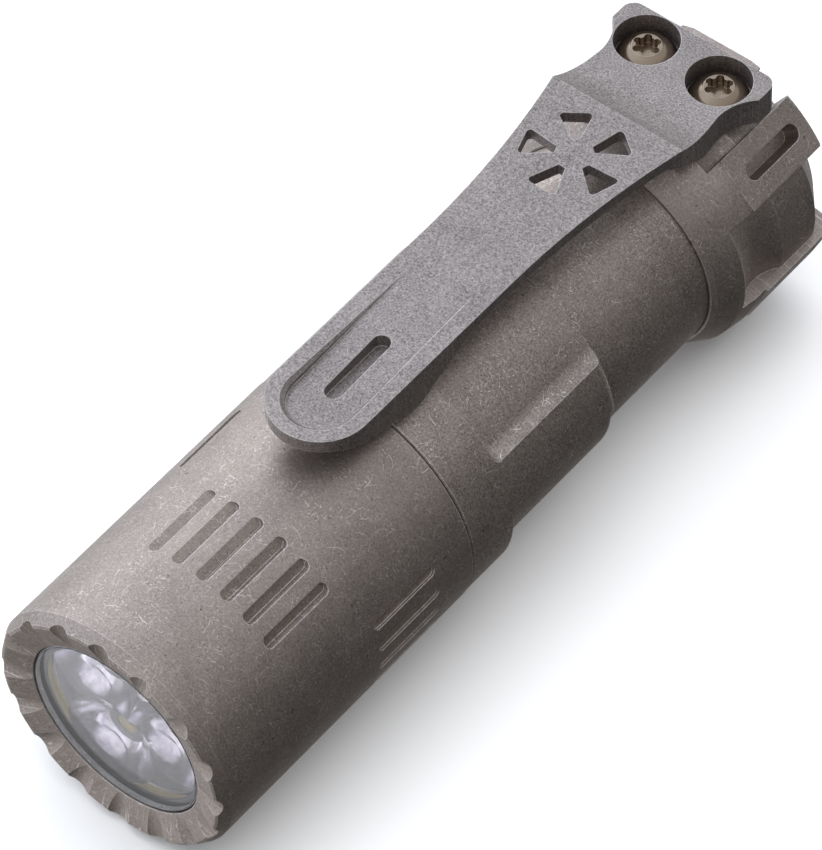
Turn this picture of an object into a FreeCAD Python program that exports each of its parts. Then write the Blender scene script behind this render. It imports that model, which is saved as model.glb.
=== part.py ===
import FreeCAD, Part
import math
import os

import Sketcher

# A pocket flashlight lying on its side. Lengths are millimetres, angles are degrees.
# Row frame: +Y runs from the lens to the tail, +Z points up through the pocket clip, and the
# origin is under the middle of the light, on the surface that it lies on.
#
# Turned pieces are drawn in a barrel frame and placed together. There, +Z is the barrel axis,
# measured from the front of the crown towards the tail, and -Y is the clip side. The name of a
# size that ends in _at is such a distance along the barrel.
# Angles round the barrel start at the clip side and grow towards +X.

SIZES = {
    # whole light
    "light_length": 85.2,
    "axis_height": 13.1,
    # head
    "head_radius": 12.7,
    "head_end_at": 33.4,
    "rim_at": 1.2,
    "crown_radius": 11.8,
    "crown_land": 0.25,
    "window_edge_at": 0.85,
    "window_bore_radius": 9.2,
    "optic_seat_at": 2.8,
    "optic_bore_radius": 10.1,
    "sink_seat_at": 12.45,
    "sink_bore_radius": 10.6,
    "head_thread_at": 25.8,
    "head_thread_radius": 11.4,
    "edge_break": 0.15,
    "notch_radius": 1.5,
    "notch_rise": 0.49,
    "notch_tilt": 7,
    "notch_base_radius": 8,
    "notch_count": 16,
    "slot_width": 1.05,
    "slot_length": 8.0,
    "slot_depth": 0.3,
    "slot_pitch_angle": 12,
    "slot_row_count": 6,
    "front_slots_at": 10.6,
    "front_slots_angle": -16,
    "rear_slots_at": 20.7,
    "rear_slots_angle": 74,
    # window
    "glass_radius": 9.08,
    "glass_front_at": 0.9,
    "glass_rear_at": 2.4,
    "gasket_inner_radius": 8.3,
    "gasket_rear_at": 2.75,
    # optic, emitters and their board
    "optic_front_at": 2.9,
    "optic_skirt_at": 4.6,
    "optic_rear_at": 9.4,
    "optic_lobe_radius": 4.9,
    "optic_foot_radius": 2.4,
    "optic_cup_radius": 1.7,
    "optic_cup_depth": 2.2,
    "optic_angle": 83,
    "emitter_ring_radius": 4.75,
    "spacer_radius": 9.9,
    "spacer_front_at": 9.45,
    "spacer_rear_at": 10.85,
    "spacer_hole_radius": 2.6,
    "emitter_side": 3.4,
    "emitter_base_at": 10.2,
    "emitter_dome_radius": 1.25,
    "board_front_at": 10.9,
    "board_rear_at": 12.5,
    "board_radius": 9.9,
    "board_screw_ring_radius": 7.4,
    "board_screw_radius": 0.95,
    "board_screw_hole_radius": 1.0,
    "board_screw_head_radius": 1.8,
    "board_screw_head_height": 1.1,
    "board_screw_end_at": 16.0,
    "board_screw_clear_radius": 2.1,
    # heat sink, driver and front contact
    "sink_radius": 10.5,
    "sink_floor_at": 17.0,
    "sink_skirt_radius": 9.3,
    "lead_radius": 0.6,
    "lead_hole_radius": 0.75,
    "lead_ring_radius": 3.2,
    "driver_front_at": 21.0,
    "driver_rear_at": 22.6,
    "driver_ring_rear_at": 24.6,
    "driver_ring_bore": 8.4,
    # barrel tube with its waist
    "neck_front_at": 26.2,
    "neck_radius": 11.34,
    "neck_groove_at": 31.0,
    "neck_groove_width": 1.2,
    "neck_groove_radius": 10.4,
    "neck_ring_section": 0.46,
    "neck_ring_radius": 10.88,
    "waist_front_at": 33.5,
    "waist_radius": 12.65,
    "waist_end_at": 52.9,
    "waist_round": 1.0,
    "waist_step_at": 53.8,
    "recess_at": 38.9,
    "recess_radius": 11.75,
    "recess_half_angle": 40,
    "recess_edge_half_angle": 48,
    "recess_side_radius": 2.15,
    "recess_angle": 11.3,
    "recess_count": 3,
    "recess_corner": 0.7,
    "tube_radius": 10.93,
    "tube_end_at": 69.6,
    "tube_bore": 9.5,
    "tail_neck_radius": 10.44,
    "tail_neck_end_at": 75.2,
    "tail_groove_at": 70.6,
    "tail_groove_width": 0.8,
    "tail_groove_radius": 9.92,
    "tail_ring_section": 0.27,
    "tail_ring_radius": 10.2,
    # battery cell, with its wrap, insulator and button top
    "cell_top_at": 29.05,
    "cell_shoulder_at": 30.55,
    "cell_end_at": 65.0,
    "cell_radius": 9.05,
    "wrap_thickness": 0.15,
    "cell_button_radius": 3.6,
    "insulator_bore": 4.2,
    # tail cap
    "lip_at": 69.0,
    "lip_radius": 11.2,
    "lip_rear_at": 69.5,
    "lip_rear_radius": 11.66,
    "flare_mid_at": 71.3,
    "flare_mid_radius": 12.75,
    "cap_full_at": 73.6,
    "cap_radius": 13.4,
    "lip_bore": 11.0,
    "lip_bore_end_at": 69.9,
    "cap_bore": 10.5,
    "board_seat_at": 76.65,
    "cavity_radius": 8.6,
    "cavity_end_at": 82.2,
    "tail_bore": 6.5,
    "tail_chamfer": 0.4,
    "lug_face": 13.1,
    "lug_face_at": 75.0,
    "lug_first_angle": 46,
    "lug_pitch_angle": 67,
    "lug_count": 5,
    "lug_half_angle": 12,
    "lug_slot_at": 76.5,
    "lug_slot_length": 7.3,
    "lug_slot_width": 1.8,
    "lug_slot_depth": 2.2,
    "waist_cut_at": 71.9,
    "side_cut_at": 73.2,
    "waist_cut_sweep": 4.6,
    "waist_cut_rear_at": 77.3,
    "waist_cut_rear_radius": 12.3,
    "flange_at": 77.8,
    "flange_radius": 12.65,
    "flange_end_at": 82.6,
    "tail_face_radius": 10.4,
    "clip_seat": 12.6,
    "clip_seat_at": 72.0,
    "clip_seat_half_width": 5.2,
    "clip_seat_half_angle": 19,
    # switch and button
    "switch_ring_at": 75.25,
    "switch_ring_bore": 8.0,
    "switch_board_front_at": 76.7,
    "switch_board_rear_at": 77.7,
    "switch_board_radius": 8.5,
    "switch_side": 6.8,
    "switch_rear_at": 80.2,
    "plunger_radius": 1.5,
    "plunger_bore": 1.55,
    "plunger_front_at": 78.9,
    "plunger_rear_at": 81.2,
    "button_flange_at": 81.25,
    "button_flange_radius": 7.5,
    "button_radius": 5.4,
    "button_shoulder_at": 82.1,
    "button_rear_at": 84.8,
    "button_dish": 0.5,
    "seal_bore": 5.45,
    "seal_front_at": 82.3,
    "seal_rear_at": 83.9,
    "running_gap": 0.05,
    # contact springs
    "spring_wire": 0.35,
    "spring_radius": 4.2,
    "spring_turns": 4,
    # pocket clip; heights are above the barrel axis
    "clip_tip_at": 24.3,
    "clip_top": 17.0,
    "clip_under": 15.75,
    "clip_tip_under": 15.6,
    "clip_half_width": 4.87,
    "clip_straight_at": 49.2,
    "clip_flare_radius": 95.0,
    "clip_crease_at": 69.8,
    "clip_crease_half_width": 7.2,
    "clip_ramp_end_at": 74.2,
    "clip_waist_at": 75.7,
    "clip_waist_half_width": 6.55,
    "clip_waist_round": 5.0,
    "clip_corner_at": 79.6,
    "clip_corner_half_width": 8.2,
    "clip_corner_round": 1.1,
    "clip_tail_at": 82.4,
    "pad_top": 15.65,
    "pad_front_at": 73.3,
    "leg_top_at": 68.0,
    "foot_rear_at": 43.5,
    "foot_low_rear_at": 38.0,
    "foot_low_front_at": 33.2,
    "foot_front_at": 26.2,
    "foot_shoulder": 13.65,
    "foot_round": 4.0,
    "channel_half_width": 3.15,
    "channel_fade_at": 45.4,
    "channel_slope_angle": 2.9,
    "channel_bevel_slope": 1.3,
    "clip_slot_at": 30.8,
    "clip_slot_pitch": 6.3,
    "clip_slot_radius": 0.85,
    "clip_slot_floor": 15.2,
    "window_centre_at": 63.7,
    "window_inner": 1.75,
    "window_outer": 4.85,
    "window_inner_half_width": 0.35,
    "window_outer_half_width": 1.45,
    "window_corner": 0.4,
    "window_count": 5,
    # clip screws
    "clip_screw_at": 79.25,
    "clip_screw_half_spacing": 4.03,
    "screw_pocket_radius": 3.05,
    "screw_pocket_floor": 13.3,
    "screw_hole_radius": 1.25,
    "screw_thread_radius": 1.0,
    "screw_tap_radius": 1.05,
    "screw_tap_floor": 10.0,
    "screw_end": 10.2,
    "screw_head_radius": 2.8,
    "screw_head_edge": 13.75,
    "screw_head_top": 14.95,
    "screw_rim_radius": 1.5,
    "screw_socket_radius": 1.0,
    "screw_socket_lobe_radius": 0.36,
    "screw_socket_floor": 13.9,
}

AXIAL = FreeCAD.Rotation(FreeCAD.Vector(1, 0, 0), -90)
NO_TURN = FreeCAD.Rotation()

doc = FreeCAD.newDocument("flashlight")
sheet = doc.addObject("Spreadsheet::Sheet", "dims")
for row, (alias, number) in enumerate(SIZES.items(), start=1):
    sheet.set(f"A{row}", alias)
    sheet.set(f"B{row}", str(number))
    sheet.setAlias(f"B{row}", alias)
doc.recompute()


class Size:
    """A size worked out from the sheet: its value, and the expression that gives it."""

    def __init__(self, value, text):
        self.value = value
        self.text = text

    @staticmethod
    def of(thing):
        if isinstance(thing, Size):
            return thing
        if isinstance(thing, str):
            return Size(SIZES[thing], f"dims.{thing}")
        return Size(float(thing), repr(float(thing)))

    def combine(self, other, sign, value):
        return Size(value, f"({self.text} {sign} {other.text})")

    def __add__(self, other):
        other = Size.of(other)
        return self.combine(other, "+", self.value + other.value)

    def __sub__(self, other):
        other = Size.of(other)
        return self.combine(other, "-", self.value - other.value)

    def __mul__(self, other):
        other = Size.of(other)
        return self.combine(other, "*", self.value * other.value)

    def __neg__(self):
        return Size(-self.value, f"(-{self.text})")

    def sin(self):
        return Size(math.sin(math.radians(self.value)), f"sin({self.text})")

    def cos(self):
        return Size(math.cos(math.radians(self.value)), f"cos({self.text})")


def size(name):
    return Size.of(name)


def bind(obj, path, thing):
    obj.setExpression(path, Size.of(thing).text)


# ---------------------------------------------------------------- placing


def place_in_barrel(obj):
    """Lay a piece that is drawn in the barrel frame along +Y of the row frame."""
    obj.Placement = FreeCAD.Placement(FreeCAD.Vector(0, 0, 0), AXIAL)
    bind(obj, "Placement.Base.y", -(size("light_length") * 0.5))
    bind(obj, "Placement.Base.z", "axis_height")
    return obj


def place_upright(obj):
    """Place a piece that is drawn with its own Y along the barrel and Z above its axis."""
    obj.Placement = FreeCAD.Placement(FreeCAD.Vector(0, 0, 0), NO_TURN)
    bind(obj, "Placement.Base.y", -(size("light_length") * 0.5))
    bind(obj, "Placement.Base.z", "axis_height")
    return obj


# ---------------------------------------------------------------- sketches


def new_body(label):
    body = doc.addObject("PartDesign::Body", label + "_body")
    body.Label = label
    return body


def plane_of(body, role):
    return next(item for item in body.Origin.OriginFeatures if item.Role == role)


def new_sketch(body, name, role):
    sketch = body.newObject("Sketcher::SketchObject", name)
    sketch.AttachmentSupport = [(plane_of(body, role), "")]
    sketch.MapMode = "FlatFace"
    return sketch


def outward_sketch(body, name, angle, radius):
    """A sketch whose plane faces outwards at an angle round the barrel; its Y is the axis."""
    angle, radius = Size.of(angle), Size.of(radius)
    sketch = new_sketch(body, name, "XZ_Plane")
    turn = FreeCAD.Rotation(FreeCAD.Vector(0, 1, 0), angle.value)
    sketch.AttachmentOffset = FreeCAD.Placement(FreeCAD.Vector(0, 0, 0), turn)
    bind(sketch, "AttachmentOffset.Rotation.Angle", angle if angle.value >= 0 else -angle)
    bind(sketch, "AttachmentOffset.Base.x", radius * angle.sin())
    bind(sketch, "AttachmentOffset.Base.z", radius * angle.cos())
    return sketch


def arc_middle(start, end, radius):
    """The middle of an arc: a positive radius bulges to the left of start to end."""
    chord = end - start
    half = chord.Length / 2
    sag = abs(radius) - math.sqrt(radius * radius - half * half)
    left = FreeCAD.Vector(-chord.y, chord.x, 0).normalize()
    return (start + end) * 0.5 + left * math.copysign(sag, radius)


def fix_point(sketch, index, point, u, v):
    """Tie an edge's start (1), end (2) or centre (3) to its two coordinates."""
    for kind, axis, coordinate in (("DistanceX", -2, u), ("DistanceY", -1, v)):
        if coordinate.value == 0:
            sketch.addConstraint(Sketcher.Constraint("PointOnObject", index, point, axis))
            continue
        number = sketch.addConstraint(
            Sketcher.Constraint(kind, -1, 1, index, point, coordinate.value))
        bind(sketch, f"Constraints[{number}]", coordinate)


def draw_outline(sketch, points):
    """Draw a closed outline. A point is (u, v), or (u, v, radius) where an arc leaves it."""
    first = sketch.GeometryCount
    corners = [(Size.of(point[0]), Size.of(point[1])) for point in points]
    vectors = [FreeCAD.Vector(u.value, v.value, 0) for u, v in corners]
    count = len(points)
    for place, point in enumerate(points):
        start, end = vectors[place], vectors[(place + 1) % count]
        if len(point) == 3:
            middle = arc_middle(start, end, Size.of(point[2]).value)
            sketch.addGeometry(Part.Arc(start, middle, end), False)
        else:
            sketch.addGeometry(Part.LineSegment(start, end), False)
    starts = [1 if (sketch.getPoint(first + place, 1) - vectors[place]).Length < 1e-6 else 2
              for place in range(count)]
    for place, (u, v) in enumerate(corners):
        following = (place + 1) % count
        sketch.addConstraint(Sketcher.Constraint(
            "Coincident", first + place, 3 - starts[place],
            first + following, starts[following]))
        fix_point(sketch, first + place, starts[place], u, v)
    for place, point in enumerate(points):
        if len(point) == 3:
            radius = Size.of(point[2])
            radius = radius if radius.value > 0 else -radius
            number = sketch.addConstraint(
                Sketcher.Constraint("Radius", first + place, radius.value))
            bind(sketch, f"Constraints[{number}]", radius)


def draw_circle(sketch, u, v, radius):
    u, v, radius = Size.of(u), Size.of(v), Size.of(radius)
    index = sketch.addGeometry(Part.Circle(
        FreeCAD.Vector(u.value, v.value, 0), FreeCAD.Vector(0, 0, 1), radius.value), False)
    number = sketch.addConstraint(Sketcher.Constraint("Radius", index, radius.value))
    bind(sketch, f"Constraints[{number}]", radius)
    fix_point(sketch, index, 3, u, v)


def draw_slot(sketch, u, v, length, width):
    """A round-ended slot that starts at v and runs along the sketch's Y."""
    u, v, length, width = (Size.of(thing) for thing in (u, v, length, width))
    radius = width * 0.5
    low, high = v + radius, v + length - radius
    draw_outline(sketch, [
        (u - radius, high), (u - radius, low, -radius * 1.00001),
        (u + radius, low), (u + radius, high, -radius * 1.00001)])


# ---------------------------------------------------------------- features


def require_change(body, feature, grew):
    """Stop where a feature left its body as it was, or moved it the wrong way."""
    doc.recompute()
    before = feature.BaseFeature.Shape.Volume if feature.BaseFeature else 0.0
    change = feature.Shape.Volume - before
    if (change > 0) != grew or abs(change) < 1e-6:
        raise RuntimeError(f"{body.Label}: {feature.Label} changed the volume by {change}")


def revolve(body, points):
    """Turn a profile of (radius, distance along the barrel) about the barrel axis."""
    sketch = new_sketch(body, body.Label + "_profile", "XZ_Plane")
    draw_outline(sketch, points)
    turn = body.newObject("PartDesign::Revolution", body.Label + "_turned")
    turn.Profile = sketch
    turn.ReferenceAxis = (sketch, ["V_Axis"])
    turn.Angle = 360
    require_change(body, turn, True)
    return turn


def turned(label, points):
    body = new_body(label)
    revolve(body, points)
    return place_in_barrel(body)


def ring(label, outer, inner, front, rear):
    """A plain turned ring, or a disc where inner is 0."""
    return turned(label, [(inner, front), (outer, front), (outer, rear), (inner, rear)])


def pocket(body, sketch, depth=None, reverse=False, taper=0):
    """Cut a sketch into its body, to a depth or all the way through."""
    cut = body.newObject("PartDesign::Pocket", sketch.Label + "_cut")
    cut.Profile = sketch
    cut.Reversed = reverse
    cut.TaperAngle = taper
    if depth is None:
        cut.Type = "ThroughAll"
    else:
        bind(cut, "Length", depth)
    require_change(body, cut, False)
    return cut


def groove(body, name, points, middle_angle, span):
    """Cut a profile of (radius, distance) round part of the barrel."""
    middle_angle = Size.of(middle_angle)
    sketch = new_sketch(body, name, "XZ_Plane")
    turn = FreeCAD.Rotation(FreeCAD.Vector(0, 1, 0), middle_angle.value - 90)
    sketch.AttachmentOffset = FreeCAD.Placement(FreeCAD.Vector(0, 0, 0), turn)
    draw_outline(sketch, points)
    cut = body.newObject("PartDesign::Groove", name + "_cut")
    cut.Profile = sketch
    cut.ReferenceAxis = (sketch, ["V_Axis"])
    cut.Midplane = True
    bind(cut, "Angle", span)
    require_change(body, cut, False)
    return cut


def polar_step(body, name, count, sweep):
    step = body.newObject("PartDesign::PolarPattern", name)
    step.Axis = (plane_of(body, "Z_Axis"), [""])
    bind(step, "Occurrences", count)
    bind(step, "Angle", sweep)
    return step


def repeat_round(body, feature, count, sweep):
    """Repeat a cut round the barrel axis."""
    step = polar_step(body, feature.Label + "_round", count, sweep)
    step.Originals = [feature]
    body.Tip = step
    require_change(body, step, False)
    return step


def repeat_in_groups(body, feature, count, pitch):
    """Repeat a cut at a pitch, and the whole group again on the other side of the barrel."""
    group = body.newObject("PartDesign::MultiTransform", feature.Label + "_groups")
    group.Originals = [feature]
    near = polar_step(body, feature.Label + "_near", count, pitch * (Size.of(count) - 1))
    far = polar_step(body, feature.Label + "_far", 2, 360)
    group.Transformations = [near, far]
    body.Tip = group
    require_change(body, group, False)
    return group


def break_edges(body, name, kind, edges, amount):
    """Chamfer or fillet the numbered edges of the body's tip."""
    base = body.Tip
    feature = body.newObject("PartDesign::" + kind, name)
    feature.Base = (base, [f"Edge{number}" for number in edges])
    bind(feature, "Size" if kind == "Chamfer" else "Radius", amount)
    doc.recompute()
    return feature


def cylinder(name, radius, length, base):
    """A plain cylinder along Z from a base point."""
    piece = doc.addObject("Part::Cylinder", name)
    bind(piece, "Radius", radius)
    bind(piece, "Height", length)
    for axis, distance in zip("xyz", base):
        bind(piece, f"Placement.Base.{axis}", distance)
    return piece


def fused(name, pieces):
    joined = doc.addObject("Part::MultiFuse", name)
    joined.Shapes = pieces
    return joined


def cut_from(name, base, tools):
    """Cut several tools from one base."""
    result = doc.addObject("Part::Cut", name)
    result.Base = base
    result.Tool = tools[0] if len(tools) == 1 else fused(name + "_tools", tools)
    return result


def named(obj, label):
    obj.Label = label
    return obj


def at_angle(radius, angle):
    """The barrel frame's X and Y at an angle round the barrel."""
    radius, angle = Size.of(radius), Size.of(angle)
    return radius * angle.sin(), -(radius * angle.cos())


# ---------------------------------------------------------------- head


def make_head_shell():
    body = new_body("head_shell")
    rim, land = size("rim_at"), size("crown_land")
    edge = size("edge_break")
    revolve(body, [
        ("head_radius", rim),
        (size("crown_radius") + land, land * 0.4),
        ("crown_radius", 0),
        (size("crown_radius") - land, land * 0.2),
        ("window_bore_radius", "window_edge_at"),
        ("window_bore_radius", "optic_seat_at"),
        ("optic_bore_radius", "optic_seat_at"),
        ("optic_bore_radius", "sink_seat_at"),
        ("sink_bore_radius", "sink_seat_at"),
        ("sink_bore_radius", "head_thread_at"),
        ("head_thread_radius", "head_thread_at"),
        ("head_thread_radius", "head_end_at"),
        (size("head_radius") - edge, "head_end_at"),
        ("head_radius", size("head_end_at") - edge)])
    cut_crown_notches(body)
    cut_slot_groups(body, "front_slots")
    cut_slot_groups(body, "rear_slots")
    return place_in_barrel(body)


def cut_crown_notches(body):
    """Round scoops across the crown, tilted so that they run deeper towards the window."""
    sketch = new_sketch(body, "crown_notch", "XZ_Plane")
    tilt = FreeCAD.Rotation(FreeCAD.Vector(1, 0, 0), SIZES["notch_tilt"])
    sketch.AttachmentOffset = FreeCAD.Placement(FreeCAD.Vector(0, 0, 0), tilt)
    bind(sketch, "AttachmentOffset.Rotation.Angle", "notch_tilt")
    bind(sketch, "AttachmentOffset.Base.z", "notch_base_radius")
    draw_circle(sketch, 0, -size("notch_rise"), "notch_radius")
    notch = pocket(body, sketch, reverse=True)
    repeat_round(body, notch, "notch_count", 360)


def cut_slot_groups(body, row):
    """Two facing groups of blind slots that run along the head."""
    floor = size("head_radius") - "slot_depth"
    sketch = outward_sketch(body, row, row + "_angle", floor)
    draw_slot(sketch, 0, row + "_at", "slot_length", "slot_width")
    slot = pocket(body, sketch, reverse=True)
    repeat_in_groups(body, slot, "slot_row_count", size("slot_pitch_angle"))


def make_window():
    edge = size("edge_break")
    turned("window_glass", [
        (0, "glass_front_at"),
        (size("glass_radius") - edge, "glass_front_at"),
        ("glass_radius", size("glass_front_at") + edge),
        ("glass_radius", "glass_rear_at"),
        (0, "glass_rear_at")])
    ring("window_gasket", "glass_radius", "gasket_inner_radius",
         size("glass_rear_at") + "running_gap", "gasket_rear_at")


def emitter_angles():
    return [size("optic_angle") + 120 * number for number in range(3)]


def make_triple_optic():
    """Three reflector cones under one clear face, each with a cup for its emitter."""
    lobes, cups = [], []
    for number, angle in enumerate(emitter_angles(), start=1):
        x, y = at_angle("emitter_ring_radius", angle)
        lobes.append(cylinder(f"optic_lobe_{number}", "optic_lobe_radius",
                              size("optic_skirt_at") - "optic_front_at",
                              (x, y, "optic_front_at")))
        cone = doc.addObject("Part::Cone", f"optic_cone_{number}")
        bind(cone, "Radius1", "optic_lobe_radius")
        bind(cone, "Radius2", "optic_foot_radius")
        bind(cone, "Height", size("optic_rear_at") - "optic_skirt_at")
        for axis, distance in zip("xyz", (x, y, "optic_skirt_at")):
            bind(cone, f"Placement.Base.{axis}", distance)
        lobes.append(cone)
        cups.append(cylinder(f"optic_cup_{number}", "optic_cup_radius", "optic_cup_depth",
                             (x, y, size("optic_rear_at") - "optic_cup_depth")))
    solid = fused("optic_solid", lobes)
    place_in_barrel(named(cut_from("optic_piece", solid, cups), "triple_optic"))


def screw_angles():
    """The board's screws stand between the emitters."""
    return [size("optic_angle") + 60, size("optic_angle") - 60]


def make_optic_spacer():
    blank = cylinder("spacer_blank", "spacer_radius",
                     size("spacer_rear_at") - "spacer_front_at", (0, 0, "spacer_front_at"))
    depth = size("spacer_rear_at") - "spacer_front_at" + 2
    front = size("spacer_front_at") - 1
    holes = []
    for number, angle in enumerate(emitter_angles(), start=1):
        x, y = at_angle("emitter_ring_radius", angle)
        holes.append(cylinder(f"spacer_hole_{number}", "spacer_hole_radius", depth,
                              (x, y, front)))
    for number, angle in enumerate(screw_angles(), start=1):
        x, y = at_angle("board_screw_ring_radius", angle)
        holes.append(cylinder(f"spacer_screw_hole_{number}", "board_screw_clear_radius",
                              depth, (x, y, front)))
    place_in_barrel(named(cut_from("spacer_piece", blank, holes), "optic_spacer"))


def make_emitters():
    """Square emitter packages with clear domes, facing the lens."""
    half = size("emitter_side") * 0.5
    for number, angle in enumerate(emitter_angles(), start=1):
        x, y = at_angle("emitter_ring_radius", angle)
        base = doc.addObject("Part::Box", f"emitter_base_{number}")
        bind(base, "Length", "emitter_side")
        bind(base, "Width", "emitter_side")
        bind(base, "Height", size("board_front_at") - "emitter_base_at")
        for axis, distance in zip("xyz", (x - half, y - half, "emitter_base_at")):
            bind(base, f"Placement.Base.{axis}", distance)
        dome = doc.addObject("Part::Sphere", f"emitter_dome_{number}")
        bind(dome, "Radius", "emitter_dome_radius")
        for axis, distance in zip("xyz", (x, y, "emitter_base_at")):
            bind(dome, f"Placement.Base.{axis}", distance)
        domed = fused(f"emitter_domed_{number}", [base, dome])
        under = cylinder(f"emitter_under_{number}", size("emitter_side") * 2, 2,
                         (x, y, "board_front_at"))
        place_in_barrel(named(cut_from(f"emitter_piece_{number}", domed, [under]),
                              f"led_emitter_{number}"))


def lead_angles():
    return [size("optic_angle") + 150, size("optic_angle") + 210]


def make_led_board():
    thickness = size("board_rear_at") - "board_front_at"
    blank = cylinder("board_blank", "board_radius", thickness, (0, 0, "board_front_at"))
    holes = []
    for number, angle in enumerate(screw_angles(), start=1):
        x, y = at_angle("board_screw_ring_radius", angle)
        holes.append(cylinder(f"board_hole_{number}", "board_screw_hole_radius",
                              thickness + 2, (x, y, size("board_front_at") - 1)))
    place_in_barrel(named(cut_from("board_piece", blank, holes), "led_board"))


def make_board_screws():
    screws = []
    for number, angle in enumerate(screw_angles(), start=1):
        x, y = at_angle("board_screw_ring_radius", angle)
        head_at = size("board_front_at") - "board_screw_head_height"
        head = cylinder(f"board_screw_head_{number}", "board_screw_head_radius",
                        "board_screw_head_height", (x, y, head_at))
        shank = cylinder(f"board_screw_shank_{number}", "board_screw_radius",
                         size("board_screw_end_at") - head_at, (x, y, head_at))
        drive = cylinder(f"board_screw_drive_{number}", size("board_screw_radius") * 0.7,
                         size("board_screw_head_height") * 0.6, (x, y, head_at))
        solid = fused(f"board_screw_solid_{number}", [head, shank])
        screws.append(cut_from(f"board_screw_{number}", solid, [drive]))
    pair = doc.addObject("Part::Compound", "board_screw_pair")
    pair.Links = screws
    place_in_barrel(named(pair, "board_screws"))


def make_heat_sink():
    """A copper plug with a skirt that the driver rests on."""
    blank = cylinder("sink_blank", "sink_radius",
                     size("driver_front_at") - "board_rear_at", (0, 0, "board_rear_at"))
    hollow = cylinder("sink_hollow", "sink_skirt_radius",
                      size("driver_front_at") - "sink_floor_at", (0, 0, "sink_floor_at"))
    tools = [hollow]
    for number, angle in enumerate(screw_angles(), start=1):
        x, y = at_angle("board_screw_ring_radius", angle)
        tools.append(cylinder(f"sink_screw_hole_{number}", "board_screw_hole_radius",
                              size("board_screw_end_at") - "board_rear_at" + 0.3,
                              (x, y, "board_rear_at")))
    for number, angle in enumerate(lead_angles(), start=1):
        x, y = at_angle("lead_ring_radius", angle)
        tools.append(cylinder(f"sink_lead_hole_{number}", "lead_hole_radius",
                              size("sink_floor_at") - "board_rear_at" + 1,
                              (x, y, "board_rear_at")))
    place_in_barrel(named(cut_from("sink_piece", blank, tools), "heat_sink"))


def make_leads():
    for label, angle in zip(("lead_positive", "lead_negative"), lead_angles()):
        x, y = at_angle("lead_ring_radius", angle)
        body = new_body(label)
        sketch = new_sketch(body, label + "_section", "XY_Plane")
        bind(sketch, "AttachmentOffset.Base.z", "board_rear_at")
        draw_circle(sketch, x, y, "lead_radius")
        pad = body.newObject("PartDesign::Pad", label + "_run")
        pad.Profile = sketch
        bind(pad, "Length", size("driver_front_at") - "board_rear_at")
        require_change(body, pad, True)
        place_in_barrel(body)


def make_driver():
    ring("driver_board", "sink_radius", 0, "driver_front_at", "driver_rear_at")
    ring("driver_retaining_ring", "sink_radius", "driver_ring_bore",
         size("driver_rear_at") + "running_gap", "driver_ring_rear_at")


def make_spring(label, front, rear):
    """A round-wire compression spring between two faces."""
    wire = size("spring_wire")
    start, end = size(front) + wire, size(rear) - wire
    helix = doc.addObject("Part::Helix", label + "_helix")
    height = end - start
    bind(helix, "Height", height)
    bind(helix, "Pitch", height * Size(1 / SIZES["spring_turns"], "1 / dims.spring_turns"))
    bind(helix, "Radius", "spring_radius")
    section = doc.addObject("Part::Circle", label + "_section")
    bind(section, "Radius", "spring_wire")
    section.Placement = FreeCAD.Placement(
        FreeCAD.Vector(0, 0, 0), FreeCAD.Rotation(FreeCAD.Vector(1, 0, 0), 90))
    bind(section, "Placement.Base.x", "spring_radius")
    doc.recompute()
    coil = doc.addObject("Part::Sweep", label + "_coil")
    coil.Sections = [section]
    coil.Spine = (helix, [f"Edge{n + 1}" for n in range(len(helix.Shape.Edges))])
    coil.Solid = True
    coil.Frenet = True
    place_in_barrel(named(coil, label))
    bind(coil, "Placement.Base.y", start - size("light_length") * 0.5)


def seal_ring(label, ring_radius, section, middle):
    """A rubber ring of round section, seated in a groove."""
    torus = doc.addObject("Part::Torus", label + "_torus")
    bind(torus, "Radius1", ring_radius)
    bind(torus, "Radius2", section)
    place_in_barrel(named(torus, label))
    bind(torus, "Placement.Base.y", Size.of(middle) - size("light_length") * 0.5)


# ---------------------------------------------------------------- barrel


def make_body_tube():
    """The battery tube, with a threaded neck at each end and a waist for the fingers."""
    body = new_body("body_tube")
    edge = size("edge_break")
    groove_end = size("neck_groove_at") + "neck_groove_width"
    tail_groove_end = size("tail_groove_at") + "tail_groove_width"
    revolve(body, [
        ("tube_bore", "neck_front_at"),
        (size("neck_radius") - edge, "neck_front_at"),
        ("neck_radius", size("neck_front_at") + edge),
        ("neck_radius", "neck_groove_at"),
        ("neck_groove_radius", "neck_groove_at"),
        ("neck_groove_radius", groove_end),
        ("neck_radius", groove_end),
        ("neck_radius", "waist_front_at"),
        (size("waist_radius") - edge, "waist_front_at"),
        ("waist_radius", size("waist_front_at") + edge),
        ("waist_radius", "waist_step_at"),
        (size("tube_radius") + edge, "waist_step_at"),
        ("tube_radius", size("waist_step_at") + edge),
        ("tube_radius", size("tube_end_at") - edge),
        (size("tube_radius") - edge, "tube_end_at"),
        ("tail_neck_radius", "tube_end_at"),
        ("tail_neck_radius", "tail_groove_at"),
        ("tail_groove_radius", "tail_groove_at"),
        ("tail_groove_radius", tail_groove_end),
        ("tail_neck_radius", tail_groove_end),
        ("tail_neck_radius", "tail_neck_end_at"),
        ("tube_bore", "tail_neck_end_at")])
    cut_finger_recesses(body)
    return place_in_barrel(body)


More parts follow.
